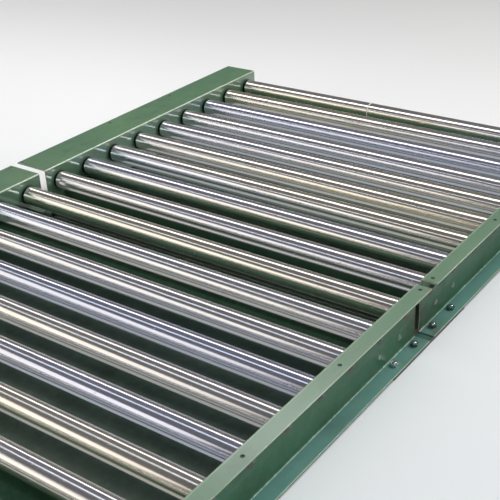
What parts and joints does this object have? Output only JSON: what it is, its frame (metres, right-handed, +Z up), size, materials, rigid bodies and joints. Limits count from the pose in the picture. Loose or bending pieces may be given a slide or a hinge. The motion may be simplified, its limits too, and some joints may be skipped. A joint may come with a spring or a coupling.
{
  "type": "gravity roller conveyor",
  "caption": "Flat gravity roller conveyor bed: two bolted green channel sections carrying free-turning plated steel rollers on fixed hexagonal axles.",
  "frame": {"origin": "on the floor plane, under the middle of the whole bed, at the underside of the splice plates", "axes": "+X along the rollers towards the narrow-flanged side channel, +Y along the bed, +Z up"},
  "size_m": [1.288, 1.9934, 0.1413],
  "materials": {
    "green_enamel": "glossy sage green enamel",
    "plated_steel": "bright plated tube with lengthwise streaks",
    "axle_steel": "dull hexagonal bar",
    "zinc_fastener": "zinc plated"
  },
  "bodies": {
    "bed_frame": {"side_channel_left_near": "green_enamel", "side_channel_right_near": "green_enamel", "side_channel_left_far": "green_enamel", "side_channel_right_far": "green_enamel", "cross_brace_1": "green_enamel", "cross_brace_2": "green_enamel", "cross_brace_3": "green_enamel", "cross_brace_4": "green_enamel", "under_pan_near": "green_enamel", "under_pan_far": "green_enamel", "axle_01": "axle_steel", "axle_02": "axle_steel", "axle_03": "axle_steel", "axle_04": "axle_steel", "axle_05": "axle_steel", "axle_06": "axle_steel", "axle_07": "axle_steel", "axle_08": "axle_steel", "axle_09": "axle_steel", "axle_10": "axle_steel", "axle_11": "axle_steel", "axle_12": "axle_steel", "axle_13": "axle_steel", "axle_14": "axle_steel", "axle_15": "axle_steel", "axle_16": "axle_steel", "axle_17": "axle_steel", "axle_18": "axle_steel", "splice_plate_left": "green_enamel", "splice_plate_right": "green_enamel", "plate_bolt_left_1": "zinc_fastener", "plate_bolt_left_2": "zinc_fastener", "plate_bolt_left_3": "zinc_fastener", "plate_bolt_left_4": "zinc_fastener", "plate_bolt_right_1": "zinc_fastener", "plate_bolt_right_2": "zinc_fastener", "plate_bolt_right_3": "zinc_fastener", "plate_bolt_right_4": "zinc_fastener", "plate_nut_right_1": "zinc_fastener", "plate_nut_right_2": "zinc_fastener", "plate_nut_right_3": "zinc_fastener", "plate_nut_right_4": "zinc_fastener"},
    "roller_01_body": {"roller_01": "plated_steel"},
    "roller_02_body": {"roller_02": "plated_steel"},
    "roller_03_body": {"roller_03": "plated_steel"},
    "roller_04_body": {"roller_04": "plated_steel"},
    "roller_05_body": {"roller_05": "plated_steel"},
    "roller_06_body": {"roller_06": "plated_steel"},
    "roller_07_body": {"roller_07": "plated_steel"},
    "roller_08_body": {"roller_08": "plated_steel"},
    "roller_09_body": {"roller_09": "plated_steel"},
    "roller_10_body": {"roller_10": "plated_steel"},
    "roller_11_body": {"roller_11": "plated_steel"},
    "roller_12_body": {"roller_12": "plated_steel"},
    "roller_13_body": {"roller_13": "plated_steel"},
    "roller_14_body": {"roller_14": "plated_steel"},
    "roller_15_body": {"roller_15": "plated_steel"},
    "roller_16_body": {"roller_16": "plated_steel"},
    "roller_17_body": {"roller_17": "plated_steel"},
    "roller_18_body": {"roller_18": "plated_steel"}
  },
  "joints": [
    {"name": "roller_01_spin", "type": "hinge", "parent": "bed_frame", "child": "roller_01_body", "pos_m": [0.036, -0.94775, 0.0978], "axis": [1, 0, 0], "continuous": true},
    {"name": "roller_02_spin", "type": "hinge", "parent": "bed_frame", "child": "roller_02_body", "pos_m": [0.036, -0.83675, 0.0978], "axis": [1, 0, 0], "continuous": true},
    {"name": "roller_03_spin", "type": "hinge", "parent": "bed_frame", "child": "roller_03_body", "pos_m": [0.036, -0.72575, 0.0978], "axis": [1, 0, 0], "continuous": true},
    {"name": "roller_04_spin", "type": "hinge", "parent": "bed_frame", "child": "roller_04_body", "pos_m": [0.036, -0.61475, 0.0978], "axis": [1, 0, 0], "continuous": true},
    {"name": "roller_05_spin", "type": "hinge", "parent": "bed_frame", "child": "roller_05_body", "pos_m": [0.036, -0.50375, 0.0978], "axis": [1, 0, 0], "continuous": true},
    {"name": "roller_06_spin", "type": "hinge", "parent": "bed_frame", "child": "roller_06_body", "pos_m": [0.036, -0.39275, 0.0978], "axis": [1, 0, 0], "continuous": true},
    {"name": "roller_07_spin", "type": "hinge", "parent": "bed_frame", "child": "roller_07_body", "pos_m": [0.036, -0.28175, 0.0978], "axis": [1, 0, 0], "continuous": true},
    {"name": "roller_08_spin", "type": "hinge", "parent": "bed_frame", "child": "roller_08_body", "pos_m": [0.036, -0.17075, 0.0978], "axis": [1, 0, 0], "continuous": true},
    {"name": "roller_09_spin", "type": "hinge", "parent": "bed_frame", "child": "roller_09_body", "pos_m": [0.036, -0.05975, 0.0978], "axis": [1, 0, 0], "continuous": true},
    {"name": "roller_10_spin", "type": "hinge", "parent": "bed_frame", "child": "roller_10_body", "pos_m": [0.036, 0.05975, 0.0978], "axis": [1, 0, 0], "continuous": true},
    {"name": "roller_11_spin", "type": "hinge", "parent": "bed_frame", "child": "roller_11_body", "pos_m": [0.036, 0.17075, 0.0978], "axis": [1, 0, 0], "continuous": true},
    {"name": "roller_12_spin", "type": "hinge", "parent": "bed_frame", "child": "roller_12_body", "pos_m": [0.036, 0.28175, 0.0978], "axis": [1, 0, 0], "continuous": true},
    {"name": "roller_13_spin", "type": "hinge", "parent": "bed_frame", "child": "roller_13_body", "pos_m": [0.036, 0.39275, 0.0978], "axis": [1, 0, 0], "continuous": true},
    {"name": "roller_14_spin", "type": "hinge", "parent": "bed_frame", "child": "roller_14_body", "pos_m": [0.036, 0.50375, 0.0978], "axis": [1, 0, 0], "continuous": true},
    {"name": "roller_15_spin", "type": "hinge", "parent": "bed_frame", "child": "roller_15_body", "pos_m": [0.036, 0.61475, 0.0978], "axis": [1, 0, 0], "continuous": true},
    {"name": "roller_16_spin", "type": "hinge", "parent": "bed_frame", "child": "roller_16_body", "pos_m": [0.036, 0.72575, 0.0978], "axis": [1, 0, 0], "continuous": true},
    {"name": "roller_17_spin", "type": "hinge", "parent": "bed_frame", "child": "roller_17_body", "pos_m": [0.036, 0.83675, 0.0978], "axis": [1, 0, 0], "continuous": true},
    {"name": "roller_18_spin", "type": "hinge", "parent": "bed_frame", "child": "roller_18_body", "pos_m": [0.036, 0.94775, 0.0978], "axis": [1, 0, 0], "continuous": true}
  ]
}
